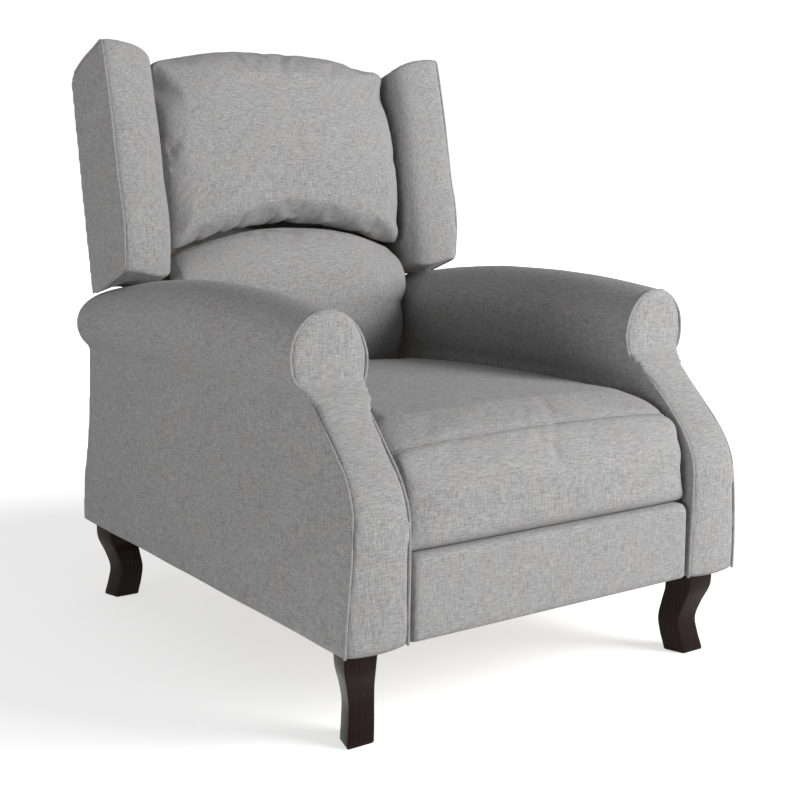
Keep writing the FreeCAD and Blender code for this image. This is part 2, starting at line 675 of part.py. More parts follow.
foot_pad = loft([pad_outline(FOOT_PAD_FRONT - FOOT_PAD_BULGE, 9.0), pad_outline(FOOT_PAD_FRONT + 1, 3.0),
                 pad_outline(FOOT_PAD_FRONT + 8, 0.5)])
foot_pad = foot_pad.fuse(prism("xz", pad_items(0.5), FOOT_PAD_FRONT + 8, board_back - 3)).removeSplitter()
board_space = box(-BOARD_HALF, BOARD_HALF, board_front, board_back + 1, BOARD_BOTTOM, BOARD_TOP)
add("footrest_pad", foot_pad.cut(board_space))

# Seat carriage
seat_plate = prism("yz", [
    (SEAT_PLATE_FRONT, P2_Z - 12), (SEAT_PLATE_FRONT, SEAT_PLATE_TOP), (SEAT_PLATE_REAR, SEAT_PLATE_TOP),
    (BACK_PIVOT_Y + BACK_EYE_R, BACK_PIVOT_Z + 6), (BACK_PIVOT_Y + BACK_EYE_R, BACK_PIVOT_Z - BACK_EYE_R),
    (SEAT_PLATE_REAR, SEAT_PLATE_BOTTOM), (-250.0, SEAT_PLATE_BOTTOM)], SEAT_PLATE_X, SEAT_PLATE_X + PLATE)
for y, z in seat_pivots:
    seat_plate = hole(seat_plate, y, z, SEAT_PLATE_X, RIVET_D)
seat_plate = hole(seat_plate, P2[0], P2[1], SEAT_PLATE_X, RIVET_D)
seat_plate = hole(seat_plate, BACK_PIVOT_Y, BACK_PIVOT_Z, SEAT_PLATE_X, BACK_PIN_D)
rail_x0 = SEAT_PLATE_X - SEAT_RAIL_WIDE
front_rail = box(-SEAT_PLATE_X, SEAT_PLATE_X, FRONT_RAIL_Y, FRONT_RAIL_Y + FRONT_RAIL_WIDE,
                 SEAT_RAIL_BOTTOM, SEAT_PLATE_TOP)
rear_rail = box(-SEAT_PLATE_X, SEAT_PLATE_X, REAR_RAIL_Y, REAR_RAIL_Y + REAR_RAIL_WIDE,
                SEAT_RAIL_BOTTOM, SEAT_PLATE_TOP)
side_rail = box(rail_x0, SEAT_PLATE_X, FRONT_RAIL_Y + FRONT_RAIL_WIDE, REAR_RAIL_Y,
                SEAT_RAIL_BOTTOM, SEAT_PLATE_TOP)
hanger = prism("yz", [(P1[0] - 15, SEAT_PLATE_TOP), (P1[0] - 15, P1[1] - 2),
                      ((P1[0], P1[1] - 16), (P1[0] + 15, P1[1] - 2)), (P1[0] + 15, SEAT_PLATE_TOP)],
               HANGER_X, HANGER_X + PLATE)
hanger = hole(hanger, P1[0], P1[1], HANGER_X, TUBE_D + 2 * TUBE_FIT)
seat_screws = []
for y in (-260.0, -40.0, 160.0):
    z = SEAT_PLATE_TOP - 12
    shank = rod_x(y, z, SCREW_D, SEAT_PLATE_X - 16, SEAT_PLATE_X + PLATE)
    seat_screws.append(shank)
hanger_screw = rod_x(P1[0], SEAT_PLATE_TOP - 9, SCREW_D, HANGER_X, HANGER_X + PLATE + 14)
for s in seat_screws:
    seat_plate = seat_plate.cut(s)
    side_rail = side_rail.cut(s)
hanger = hanger.cut(hanger_screw)
side_rail = side_rail.cut(hanger_screw)
seat_screws.append(hanger_screw)
both("seat_plate", seat_plate)
both("seat_side_rails", side_rail, join=True)
add("seat_plate_rivets", p2_rivet, mirror(p2_rivet), *seat_rivets)
add("seat_front_rail", front_rail)
add("seat_rear_rail", rear_rail)
both("torque_tube_hangers", hanger, join=True)
add("seat_screws", *(seat_screws + [mirror(s) for s in seat_screws]))


def zigzag(x, y0, y1, z, bends, half_wide):
    """Sinuous spring of straight runs and half-round bends between two rails."""
    pitch = (y1 - y0) / bends
    run = half_wide - pitch / 2
    stops = [(V(x, y0, z), ACROSS)]
    side = 1
    for i in range(bends):
        centre = V(x + side * run, y0 + (i + 0.5) * pitch, z)
        for k in range(SPRING_STEPS + 1):
            a = rad(180.0 * k / SPRING_STEPS - 90)
            out = V(side * math.cos(a), math.sin(a), 0)
            stops.append((centre + out * (pitch / 2), V(-side * math.sin(a), math.cos(a), 0)))
        side = -side
    stops.append((V(x, y1, z), stops[-1][1]))
    return Part.makeLoft([ring(at, along, V(0, 0, 1), SPRING_D) for at, along in stops], True, True)


spring_z = SEAT_PLATE_TOP + SPRING_D / 2
springs = []
spring_y0 = FRONT_RAIL_Y + FRONT_RAIL_WIDE / 2
spring_y1 = REAR_RAIL_Y + REAR_RAIL_WIDE / 2
for i in range(SPRING_COUNT):
    x = (i - (SPRING_COUNT - 1) / 2) * SPRING_PITCH
    springs.append(zigzag(x, spring_y0, spring_y1, spring_z, SPRING_BENDS, SPRING_HALF_WIDE))
add("seat_springs", *springs)

# Seat cushion
# The cushion rests on the springs
CUSHION_DECK = SEAT_PLATE_TOP + SPRING_D + SOFT_GAP


def cushion_section(x):
    s = abs(x) / CUSHION_HALF
    edge = max(0.0, (abs(x) - (CUSHION_HALF - 16)) / 16)
    inset = 9.0 * edge ** 2
    top = CUSHION_CROWN_Z - (CUSHION_CROWN_Z - CUSHION_SIDE_Z) * s ** 2 - inset
    seam_z = CUSHION_SEAM_Z - CUSHION_SEAM_DROP * s ** 2 - inset * 0.6
    seam_y = CUSHION_SEAM_Y - 4 * s ** 2 + inset * 0.5
    nose_y = CUSHION_NOSE_Y + 11 * s ** 3 + inset * 0.6
    lower_z = CUSHION_BOTTOM + 10 * max(0.0, s - 0.8) / 0.2
    return outline("yz", x, [
        (CUSHION_REAR_Y, CUSHION_DECK), (CUSHION_REAR_Y, top - 26),
        ((CUSHION_REAR_Y - 20, top - 17), (CUSHION_REAR_Y - 60, top - 12)),
        ((-120.0, top), (-372.0, top - 6)),
        ((-402.0, (top - 6 + seam_z) / 2 + 3), (seam_y, seam_z)),
        ((seam_y - 22, seam_z - 12), (nose_y + 9, seam_z - 36)),
        ((nose_y, CUSHION_NOSE_Z), (nose_y + 10, CUSHION_NOSE_Z - 36)),
        ((CUSHION_LOWER_Y - 19, lower_z + 9), (CUSHION_LOWER_Y, lower_z)),
        (CUSHION_LIP_Y, lower_z), (CUSHION_LIP_Y, CUSHION_DECK)])


cushion_xs = [-CUSHION_HALF, -CUSHION_HALF + 6, -CUSHION_HALF + 22, -190, -95, 0,
              95, 190, CUSHION_HALF - 22, CUSHION_HALF - 6, CUSHION_HALF]
add("seat_cushion", loft([cushion_section(x) for x in cushion_xs]))

# Back
rake = math.tan(rad(BACK_TILT))


def wing_front(z):
    return WING_FRONT_Y + rake * (z - WING_FOOT_Z)


def back_rear(z):
    k = (BACK_REAR_UP_Y - BACK_REAR_LOW_Y) / (BACK_REAR_UP_Z - BACK_REAR_LOW_Z)
    return BACK_REAR_LOW_Y + k * (z - BACK_REAR_LOW_Z)


def arch(x):
    return ARCH_TOP - ARCH_DROP * (x / LUMBAR_HALF) ** 2



def post_front(z):
    return back_rear(z) - BACK_SKIN - POST_DEEP


def lumbar_section(x):
    s = abs(x) / LUMBAR_HALF
    edge = max(0.0, (abs(x) - (LUMBAR_HALF - 14)) / 14)
    set_back = LUMBAR_SIDE_SET * s ** 2.6 + 7 * edge ** 2
    top = arch(x) - ARCH_GAP - 4 * edge ** 2
    low = LUMBAR_BOTTOM + 4 * edge ** 2
    face = LUMBAR_FACE + set_back
    return outline("yz", x, [
        (post_front(low) - SOFT_GAP, low), (face + 34, low),
        ((face + 2, low + 62), (face - 6, 540.0)),
        ((face + 3, 622.0), (face + 38, top - 6)),
        ((face + 44, top - 1), (face + 52, top)),
        (post_front(top) - SOFT_GAP, top)])


xs = [-1.0, -0.965, -0.86, -0.6, -0.3, 0.0, 0.3, 0.6, 0.86, 0.965, 1.0]
add("lumbar_cushion", loft([lumbar_section(s * LUMBAR_HALF) for s in xs]))


def head_section(x):
    s = abs(x) / HEAD_HALF
    edge = max(0.0, (abs(x) - (HEAD_HALF - 14)) / 14)
    low = ARCH_TOP - ARCH_DROP * s ** 2 + 4 * edge ** 2
    top = HEAD_TOP - HEAD_TOP_DROP * s ** 2.4 - 9 * edge ** 2
    back = 12 + 22 * s ** 3 + 8 * edge ** 2
    f_low = wing_front(low) + back + 16
    f_mid = wing_front(800.0) + back
    f_up = wing_front(960.0) + back + 6
    crest = wing_front(top) + 52
    behind = post_front(top - 44) + POST_DEEP - 8
    return outline("yz", x, [
        (post_front(low) - SOFT_GAP, low), (f_low + 10, low),
        ((f_low - 4, low + 14), (f_low - 12 + back * 0.2, low + 44)),
        ((f_mid, 845.0), (f_up, top - 62)),
        ((f_up + 14, top - 20), (crest, top)),
        ((crest + 38, top - 8), (behind, top - 44)),
        (behind, top - HEAD_UNDER), (post_front(top - HEAD_UNDER - 16) - SOFT_GAP, top - HEAD_UNDER - 16)])


add("head_cushion", loft([head_section(s * HEAD_HALF) for s in xs]))

# Wings
wing_outline = [
    (WING_FRONT_Y + 6, WING_FOOT_Z), ((WING_FRONT_Y + 3, 698.0), (281.0, 783.0)),
    ((303.0, 900.0), (331.0, 1018.0)),
    ((337.0, 1024.0), (346.0, 1021.0)),
    ((412.0, 1000.0), (462.0, 978.0)),
    ((479.0, 966.0), (BACK_REAR_UP_Y, BACK_REAR_UP_Z)),
    (BACK_REAR_LOW_Y, BACK_REAR_LOW_Z), (358.0, 594.0)]


def wing_section(x, front, top, low):
    """Wing outline drawn in at the front, top and bottom."""
    def t(p):
        y, z = p
        share = max(0.0, min(1.0, (BACK_REAR_LOW_Y + 20 - y) / 140.0))
        lift = top * max(0.0, min(1.0, (z - 900.0) / 118.0))
        drop = low * max(0.0, min(1.0, (760.0 - z) / 130.0)) * share
        return (y + front * share, z - lift + drop)
    items = []
    for item in wing_outline:
        items.append((t(item[0]), t(item[1])) if isinstance(item[0], tuple) else t(item))
    return outline("yz", x, items)


wing = loft([wing_section(WING_OUT, 0, 0, 0), wing_section(WING_OUT - 6, -3, -1, 0),
             wing_section(330.0, -5, 0, -4), wing_section(298.0, 0, 5, -12),
             wing_section(276.0, 8, 14, -12), wing_section(WING_IN, 26, 24, -6)])
wing = wing.cut(arm_body(ROLL_CLEAR))
wing_panel_core = prism("yz", [
    (WING_FRONT_Y + 34, WING_FOOT_Z + 20), (WING_FRONT_Y + 40, 760.0), (364.0, 980.0), (440.0, 955.0),
    (back_rear(900.0) - BACK_SKIN - 6, 900.0), (back_rear(640.0) - BACK_SKIN - 6, 640.0)],
    WING_OUT - WING_PANEL_INSET - WING_PANEL_THICK, WING_OUT - WING_PANEL_INSET)

# Outside back
skin = prism("yz", [
    (back_rear(BACK_SKIN_BOTTOM + 130), BACK_SKIN_BOTTOM),
    (back_rear(BACK_SKIN_BOTTOM + 130) - BACK_SKIN, BACK_SKIN_BOTTOM),
    (BACK_REAR_LOW_Y - BACK_SKIN, BACK_REAR_LOW_Z), (back_rear(SKIN_TOP) - BACK_SKIN, SKIN_TOP),
    (back_rear(SKIN_TOP) - 7, SKIN_TOP), (BACK_REAR_UP_Y, BACK_REAR_UP_Z),
    (BACK_REAR_LOW_Y, BACK_REAR_LOW_Z)],
    -WING_OUT + 3, WING_OUT - 3)
shoulder = BACK_REAR_LOW_Z + 20
skin = skin.cut(box(BACK_CORE_HALF + 3, 420, 200, 600, 100, shoulder))
skin = skin.cut(box(-420, -BACK_CORE_HALF - 3, 200, 600, 100, shoulder))
rear_zone = prism("yz", [
    (back_rear(500.0) - BACK_SKIN, 500.0), (back_rear(1060.0) - BACK_SKIN, 1060.0),
    (back_rear(1060.0) + 60, 1060.0), (back_rear(500.0) + 60, 500.0)], 200.0, WING_OUT - 3)
wing = wing.cut(rear_zone).cut(wing_panel_core)
welt_x = WING_OUT - WELT_SINK


def wing_edge(y, z):
    """Place of the wing welt's centre, just inside a point of the wing's outline."""
    return (welt_x, y + 0.9, z - 0.9)


wing_welt = cord([
    (welt_x, 350.0, 598.5), (welt_x, 322.0, 608.0), (welt_x, 294.0, 617.6), (welt_x, 276.0, 624.2),
    (welt_x, 268.8, 629.5), (welt_x, 266.2, 638.0), (welt_x, 264.6, 665.0),
    (welt_x, WING_FRONT_Y + 4, 698.0), (welt_x, 270.0, 742.0), wing_edge(281.0, 783.0),
    wing_edge(291.5, 838.0), wing_edge(303.0, 900.0), wing_edge(317.0, 962.0), wing_edge(329.0, 1010.0),
    wing_edge(332.3, 1019.5), wing_edge(338.0, 1023.4), wing_edge(346.0, 1021.0),
    wing_edge(378.0, 1010.6), wing_edge(412.0, 1000.0), wing_edge(438.0, 989.4),
    wing_edge(462.0, 978.0)], ACROSS)
wing = largest(wing.cut(wing_welt))
both("wing_panel", wing_panel_core)
both("wing_pad", wing)
both("wing_welts", wing_welt, join=True)
add("outside_back", skin)

# Back frame
post_top = 895.0
post_low = 300.0
post = prism("yz", [(post_front(post_low), post_low), (post_front(post_top), post_top),
                    (post_front(post_top) + POST_DEEP, post_top),
                    (post_front(post_low) + POST_DEEP, post_low)],
             BACK_CORE_HALF - POST_WIDE, BACK_CORE_HALF)
both("back_post", post)


def back_rail(z, tall):
    return prism("yz", [(post_front(z) + 8, z), (post_front(z + tall) + 8, z + tall),
                        (post_front(z + tall) + POST_DEEP, z + tall), (post_front(z) + POST_DEEP, z)],
                 -BACK_CORE_HALF + POST_WIDE, BACK_CORE_HALF - POST_WIDE)


add("back_bottom_rail", back_rail(post_low, 50.0))
add("back_mid_rail", back_rail(600.0, 40.0))
add("back_top_rail", back_rail(post_top - 50, 50.0))

bracket_x = D_X
hinge = prism("yz", [
    (BACK_PIVOT_Y + BACK_EYE_R, BACK_PIVOT_Z),
    ((BACK_PIVOT_Y, BACK_PIVOT_Z - BACK_EYE_R), (BACK_PIVOT_Y - BACK_EYE_R, BACK_PIVOT_Z)),
    (post_front(post_low), post_low), (post_front(post_low + 90), post_low + 90),
    (post_front(post_low + 90) + POST_DEEP, post_low + 90)], bracket_x, bracket_x + PLATE)
hinge = hinge.fuse(box(BACK_CORE_HALF, bracket_x,
                       post_front(post_low + 45) + 6, post_front(post_low + 45) + 34,
                       post_low + 25, post_low + 65)).removeSplitter()
hinge = hole(hinge, BACK_PIVOT_Y, BACK_PIVOT_Z, bracket_x, BACK_PIN_D + 2 * RIVET_FIT)
back_pin = rod_x(BACK_PIVOT_Y, BACK_PIVOT_Z, BACK_PIN_D, bracket_x, SEAT_PLATE_X + PLATE)
back_pin = back_pin.fuse(rod_x(BACK_PIVOT_Y, BACK_PIVOT_Z, 20.0, bracket_x - 3, bracket_x)).removeSplitter()
both("back_hinge_brackets", hinge, join=True)
both("back_pivot_pins", back_pin, join=True)

os.makedirs("parts", exist_ok=True)
lo = [1e9] * 3
hi = [-1e9] * 3
for name in sorted(parts):
    for s in parts[name]:
        if s.Volume <= 0:
            print("inside out:", name, s.Volume)
    shape = parts[name][0] if len(parts[name]) == 1 else Part.makeCompound(parts[name])
    bb = shape.BoundBox
    if not shape.isValid():
        print("not valid:", name)
    lo = [min(a, b) for a, b in zip(lo, (bb.XMin, bb.YMin, bb.ZMin))]
    hi = [max(a, b) for a, b in zip(hi, (bb.XMax, bb.YMax, bb.ZMax))]
    shape.exportStep("parts/" + name + ".step")
print("nodes", len(parts))
print("box", [round(v, 1) for v in lo], [round(v, 1) for v in hi])
print("slot play", [round(max(abs(a - b) for a, b in zip(p, slot_mid)), 2) for p in track[::6]])
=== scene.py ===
import json
import math

import bmesh
import bpy
import numpy as np
from mathutils import Matrix, Vector, noise
from mathutils.bvhtree import BVHTree
from mathutils.kdtree import KDTree


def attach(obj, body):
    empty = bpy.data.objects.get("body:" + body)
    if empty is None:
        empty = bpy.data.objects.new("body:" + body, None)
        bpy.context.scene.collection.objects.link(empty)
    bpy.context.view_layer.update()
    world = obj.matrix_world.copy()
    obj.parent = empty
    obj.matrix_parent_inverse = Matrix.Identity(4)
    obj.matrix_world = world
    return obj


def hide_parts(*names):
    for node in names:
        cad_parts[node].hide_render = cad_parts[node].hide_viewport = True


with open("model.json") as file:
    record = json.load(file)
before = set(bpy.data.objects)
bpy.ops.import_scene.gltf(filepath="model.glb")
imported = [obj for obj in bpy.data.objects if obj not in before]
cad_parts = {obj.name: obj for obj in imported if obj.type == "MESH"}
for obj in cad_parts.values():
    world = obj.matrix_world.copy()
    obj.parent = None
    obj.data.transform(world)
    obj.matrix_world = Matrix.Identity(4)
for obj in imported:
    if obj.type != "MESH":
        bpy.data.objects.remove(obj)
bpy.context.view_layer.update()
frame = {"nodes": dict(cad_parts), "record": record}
nodes = frame["nodes"]
scene = bpy.context.scene
MM = 0.001


# Node helpers
def new_material(name):
    mat = bpy.data.materials.new(name)
    mat.use_nodes = True
    tree = mat.node_tree
    tree.nodes.clear()
    out = tree.nodes.new("ShaderNodeOutputMaterial")
    return mat, tree, out


def link(tree, a, b):
    tree.links.new(a, b)


def math_node(tree, op, a, b=None, clamp=False):
    n = tree.nodes.new("ShaderNodeMath")
    n.operation = op
    n.use_clamp = clamp
    for i, v in enumerate((a, b)):
        if v is None:
            continue
        if isinstance(v, (int, float)):
            n.inputs[i].default_value = v
        else:
            link(tree, v, n.inputs[i])
    return n.outputs[0]


def blend_of(tree, a, share_a, b, share_b):
    """Sum of two values, each times its share."""
    part_a = math_node(tree, "MULTIPLY", a, share_a)
    part_b = math_node(tree, "MULTIPLY", b, share_b)
    return math_node(tree, "ADD", part_a, part_b)


def noise_node(tree, vector, scale, detail=2.0, rough=0.5):
    """Noise of size 1 over vector scaled by three numbers per metre."""
    m = tree.nodes.new("ShaderNodeMapping")
    m.inputs["Scale"].default_value = scale
    link(tree, vector, m.inputs["Vector"])
    n = tree.nodes.new("ShaderNodeTexNoise")
    n.inputs["Scale"].default_value = 1.0
    n.inputs["Detail"].default_value = detail
    n.inputs["Roughness"].default_value = rough
    link(tree, m.outputs[0], n.inputs["Vector"])
    return n.outputs[0]


def ramp(tree, value, stops):
    r = tree.nodes.new("ShaderNodeValToRGB")
    els = r.color_ramp.elements
    while len(els) > len(stops):
        els.remove(els[-1])
    while len(els) < len(stops):
        els.new(0.5)
    for e, (p, c) in zip(els, stops):
        e.position = p
        e.color = (*c, 1.0)
    link(tree, value, r.inputs[0])
    return r.outputs[0]


# Linen: pitch and run of its threads, their shares of the tone, and its colours
FINE_THREAD = (1.15 * MM, 12 * MM)
SLUB_THREAD = (2.2 * MM, 26 * MM)
FINE_SHARE = 0.95
SLUB_SHARE = 0.42
PATCH_SHARE = 0.10
LIGHT = (0.50, 0.496, 0.495)
DARK = (0.265, 0.264, 0.265)
WARM = (1.015, 0.998, 0.995)
COOL = (0.993, 1.0, 1.002)
WELT_LIGHT = tuple(c * 0.97 for c in LIGHT)
WELT_DARK = tuple(c * 0.95 for c in DARK)


def weave(name, light, dark, bump):
    """Heathered linen: threads along the three axes, each seen where it lies in the surface."""
    mat, tree, out = new_material(name)
    tc = tree.nodes.new("ShaderNodeTexCoord")
    obj = tc.outputs["Object"]
    sq = tree.nodes.new("ShaderNodeVectorMath")
    sq.operation = "MULTIPLY"
    link(tree, tc.outputs["Normal"], sq.inputs[0])
    link(tree, tc.outputs["Normal"], sq.inputs[1])
    sep = tree.nodes.new("ShaderNodeSeparateXYZ")
    link(tree, sq.outputs[0], sep.inputs[0])

    def threads(pitch, run):
        total = None
        for axis in range(3):
            scale = [1 / pitch] * 3
            scale[axis] = 1 / run
            n = noise_node(tree, obj, scale, 1.5, 0.45)
            shown = math_node(tree, "SUBTRACT", 1.0, sep.outputs[axis])
            one = math_node(tree, "MULTIPLY", math_node(tree, "SUBTRACT", n, 0.5), shown)
            total = one if total is None else math_node(tree, "ADD", total, one)
        return total

    fine = threads(*FINE_THREAD)
    slub = threads(*SLUB_THREAD)
    patch = noise_node(tree, obj, (9, 9, 9), 2.0)
    tint = noise_node(tree, obj, (26, 26, 26), 1.0)
    mix = blend_of(tree, fine, FINE_SHARE, slub, SLUB_SHARE)
    patch_part = math_node(tree, "SUBTRACT", patch, 0.5)
    mix = math_node(tree, "ADD", mix, math_node(tree, "MULTIPLY", patch_part, PATCH_SHARE))
    value = math_node(tree, "ADD", mix, 0.5, clamp=True)
    middle = tuple((a + b) / 2 for a, b in zip(dark, light))
    base = ramp(tree, value, [(0.18, dark), (0.5, middle), (0.82, light)])
    tone = ramp(tree, tint, [(0.38, COOL), (0.5, (1, 1, 1)), (0.62, WARM)])
    mul = tree.nodes.new("ShaderNodeMix")
    mul.data_type = "RGBA"
    mul.blend_type = "MULTIPLY"
    mul.inputs[0].default_value = 1.0
    link(tree, base, mul.inputs[6])
    link(tree, tone, mul.inputs[7])
    bs = tree.nodes.new("ShaderNodeBsdfPrincipled")
    link(tree, mul.outputs[2], bs.inputs["Base Color"])
    bs.inputs["Roughness"].default_value = 0.92
    bs.inputs["Specular IOR Level"].default_value = 0.18
    bs.inputs["Sheen Weight"].default_value = 0.12
    bs.inputs["Sheen Roughness"].default_value = 0.45
    bp = tree.nodes.new("ShaderNodeBump")
    bp.inputs["Strength"].default_value = bump
    bp.inputs["Distance"].default_value = 0.0012
    link(tree, math_node(tree, "ADD", fine, math_node(tree, "MULTIPLY", slub, 0.7)), bp.inputs["Height"])
    link(tree, bp.outputs[0], bs.inputs["Normal"])
    link(tree, bs.outputs[0], out.inputs[0])
    return mat


def gloss_wood(name):
    mat, tree, out = new_material(name)
    tc = tree.nodes.new("ShaderNodeTexCoord")
    grain = noise_node(tree, tc.outputs["Object"], (260, 260, 14), 4.0, 0.6)
    flow = noise_node(tree, tc.outputs["Object"], (30, 30, 6), 3.0)
    v = blend_of(tree, grain, 0.6, flow, 0.4)
    base = ramp(tree, v, [(0.3, (0.006, 0.002, 0.0018)), (0.5, (0.013, 0.004, 0.0036)),
                          (0.72, (0.026, 0.008, 0.007))])
    bs = tree.nodes.new("ShaderNodeBsdfPrincipled")
    link(tree, base, bs.inputs["Base Color"])
    rough = math_node(tree, "ADD", math_node(tree, "MULTIPLY", grain, 0.14), 0.22)
    link(tree, rough, bs.inputs["Roughness"])
    bs.inputs["Specular IOR Level"].default_value = 0.1
    bs.inputs["Coat Weight"].default_value = 0.06
    bs.inputs["Coat Roughness"].default_value = 0.16
    bp = tree.nodes.new("ShaderNodeBump")
    bp.inputs["Strength"].default_value = 0.12
    bp.inputs["Distance"].default_value = 0.0006
    link(tree, grain, bp.inputs["Height"])
    link(tree, bp.outputs[0], bs.inputs["Normal"])
    link(tree, bs.outputs[0], out.inputs[0])
    return mat


def raw_wood(name):
    mat, tree, out = new_material(name)
    tc = tree.nodes.new("ShaderNodeTexCoord")
    grain = noise_node(tree, tc.outputs["Object"], (9, 190, 150), 5.0, 0.62)
    rings = noise_node(tree, tc.outputs["Object"], (2.5, 34, 26), 3.0)
    v = blend_of(tree, grain, 0.45, rings, 0.55)
    base = ramp(tree, v, [(0.3, (0.30, 0.17, 0.075)), (0.5, (0.46, 0.30, 0.155)),
                          (0.7, (0.60, 0.43, 0.25))])
    bs = tree.nodes.new("ShaderNodeBsdfPrincipled")
    link(tree, base, bs.inputs["Base Color"])
    link(tree, math_node(tree, "ADD", math_node(tree, "MULTIPLY", grain, 0.25), 0.55), bs.inputs["Roughness"])
    bp = tree.nodes.new("ShaderNodeBump")
    bp.inputs["Strength"].default_value = 0.25
    bp.inputs["Distance"].default_value = 0.0008
    link(tree, grain, bp.inputs["Height"])
    link(tree, bp.outputs[0], bs.inputs["Normal"])
    link(tree, bs.outputs[0], out.inputs[0])
    return mat


def metal(name, low, high, metallic, rough, fleck):
    mat, tree, out = new_material(name)
    tc = tree.nodes.new("ShaderNodeTexCoord")
    n = noise_node(tree, tc.outputs["Object"], (fleck, fleck, fleck), 4.0, 0.6)
    wear = noise_node(tree, tc.outputs["Object"], (40, 700, 700), 2.0)
    v = blend_of(tree, n, 0.6, wear, 0.4)
    bs = tree.nodes.new("ShaderNodeBsdfPrincipled")
    link(tree, ramp(tree, v, [(0.35, low), (0.65, high)]), bs.inputs["Base Color"])
    bs.inputs["Metallic"].default_value = metallic
    link(tree, math_node(tree, "ADD", math_node(tree, "MULTIPLY", v, 0.2), rough), bs.inputs["Roughness"])
    bp = tree.nodes.new("ShaderNodeBump")
    bp.inputs["Strength"].default_value = 0.08
    bp.inputs["Distance"].default_value = 0.0004
    link(tree, v, bp.inputs["Height"])
    link(tree, bp.outputs[0], bs.inputs["Normal"])
    link(tree, bs.outputs[0], out.inputs[0])
    return mat


finishes = {
    "linen": weave("linen", LIGHT, DARK, 0.35),
    "linen_welt": weave("linen_welt", WELT_LIGHT, WELT_DARK, 0.3),
    "espresso_wood": gloss_wood("espresso_wood"),
    "frame_wood": raw_wood("frame_wood"),
    "black_steel": metal("black_steel", (0.018, 0.018, 0.019), (0.034, 0.034, 0.036), 0.0, 0.34, 900),
    "zinc_steel": metal("zinc_steel", (0.50, 0.50, 0.47), (0.68, 0.68, 0.66), 1.0, 0.22, 300),
}
for row in frame["record"]["subparts"]:
    data = nodes[row["node"]].data
    data.materials.clear()
    data.materials.append(finishes[row["material_slot"]])


# Mesh helpers
def make(name, verts, faces, smooth=True):
    me = bpy.data.meshes.new(name)
    me.from_pydata([tuple(v) for v in verts], [], faces)
    me.update()
    if smooth:
        me.polygons.foreach_set("use_smooth", [True] * len(me.polygons))
    ob = bpy.data.objects.new(name, me)
    scene.collection.objects.link(ob)
    return ob


def points(ob):
    co = np.zeros(len(ob.data.vertices) * 3)
    ob.data.vertices.foreach_get("co", co)
    return co.reshape(-1, 3)


def normals(ob):
    n = np.zeros(len(ob.data.vertices) * 3)
    ob.data.vertices.foreach_get("normal", n)
    return n.reshape(-1, 3)


def put(ob, co):
    ob.data.vertices.foreach_set("co", co.ravel())
    ob.data.update()


def settle(ob):
    """Applies the object's modifiers to its mesh."""
    bpy.context.view_layer.update()
    dg = bpy.context.evaluated_depsgraph_get()
    me = bpy.data.meshes.new_from_object(ob.evaluated_get(dg))
    ob.modifiers.clear()
    old = ob.data
    ob.data = me
    bpy.data.meshes.remove(old)
    me.polygons.foreach_set("use_smooth", [True] * len(me.polygons))
    return ob


def soft_copy(name, names, voxel, smooth=6):
    """One remeshed form from the solids of CAD nodes."""
    bm = bmesh.new()
    for n in names:
        bm.from_mesh(nodes[n].data)
    bmesh.ops.remove_doubles(bm, verts=bm.verts, dist=1e-5)
    me = bpy.data.meshes.new(name)
    bm.to_mesh(me)
    bm.free()
    ob = bpy.data.objects.new(name, me)
    scene.collection.objects.link(ob)
    r = ob.modifiers.new("remesh", "REMESH")
    r.mode = "VOXEL"
    r.voxel_size = voxel
    r.adaptivity = 0.0
    if smooth:
        s = ob.modifiers.new("smooth", "SMOOTH")
        s.factor = 0.5
        s.iterations = smooth
    return settle(ob)


def surface(names):
    bm = bmesh.new()
    for n in names:
        bm.from_mesh(nodes[n].data)
    tree = BVHTree.FromBMesh(bm)
    bm.free()
    return tree


def hold(ob, names, proud):
    """Pulls points that stand proud of the CAD surface by more than their limit back to it."""
    tree = surface(names)
    co = points(ob)
    for i, p in enumerate(co):
        at, n, _, dist = tree.find_nearest(Vector(p))
        out = (Vector(p) - at).dot(n)
        if out > 0 and dist > proud[i]:
            co[i] = at + (Vector(p) - at) * (proud[i] / dist)
    put(ob, co)


CLOTH_PRESSURE = 4.0
CLOTH_FRAMES = 20


def inflate(ob, names, shrink, cap, proud, firm=None):
    """Cloth under pressure from a slightly smaller form; proud gives each point's limit."""
    form = points(ob)
    give = np.ones(len(form)) if firm is None else 1 - firm(form)
    start = form - normals(ob) * shrink * give[:, None]
    put(ob, start)
    c = ob.modifiers.new("cloth", "CLOTH")
    s = c.settings
    s.quality = 4
    s.mass = 0.3
    s.tension_stiffness = 25
    s.compression_stiffness = 25
    s.shear_stiffness = 10
    s.bending_stiffness = 3
    s.use_pressure = True
    s.uniform_pressure_force = CLOTH_PRESSURE
    s.effector_weights.gravity = 0
    c.point_cache.frame_start = 1
    c.point_cache.frame_end = CLOTH_FRAMES
    for f in range(1, CLOTH_FRAMES + 1):
        scene.frame_set(f)
    settle(ob)
    scene.frame_set(1)
    move = points(ob) - start
    length = np.linalg.norm(move, axis=1, keepdims=True)
    share = np.minimum(1.0, cap / np.maximum(length, 1e-9))
    put(ob, start + move * share * give[:, None])
    hold(ob, names, proud(points(ob), normals(ob)))
    s = ob.modifiers.new("smooth", "SMOOTH")
    s.factor = 0.5
    s.iterations = 4
    s = ob.modifiers.new("sub", "SUBSURF")
    s.levels = s.render_levels = 1
    return settle(ob)


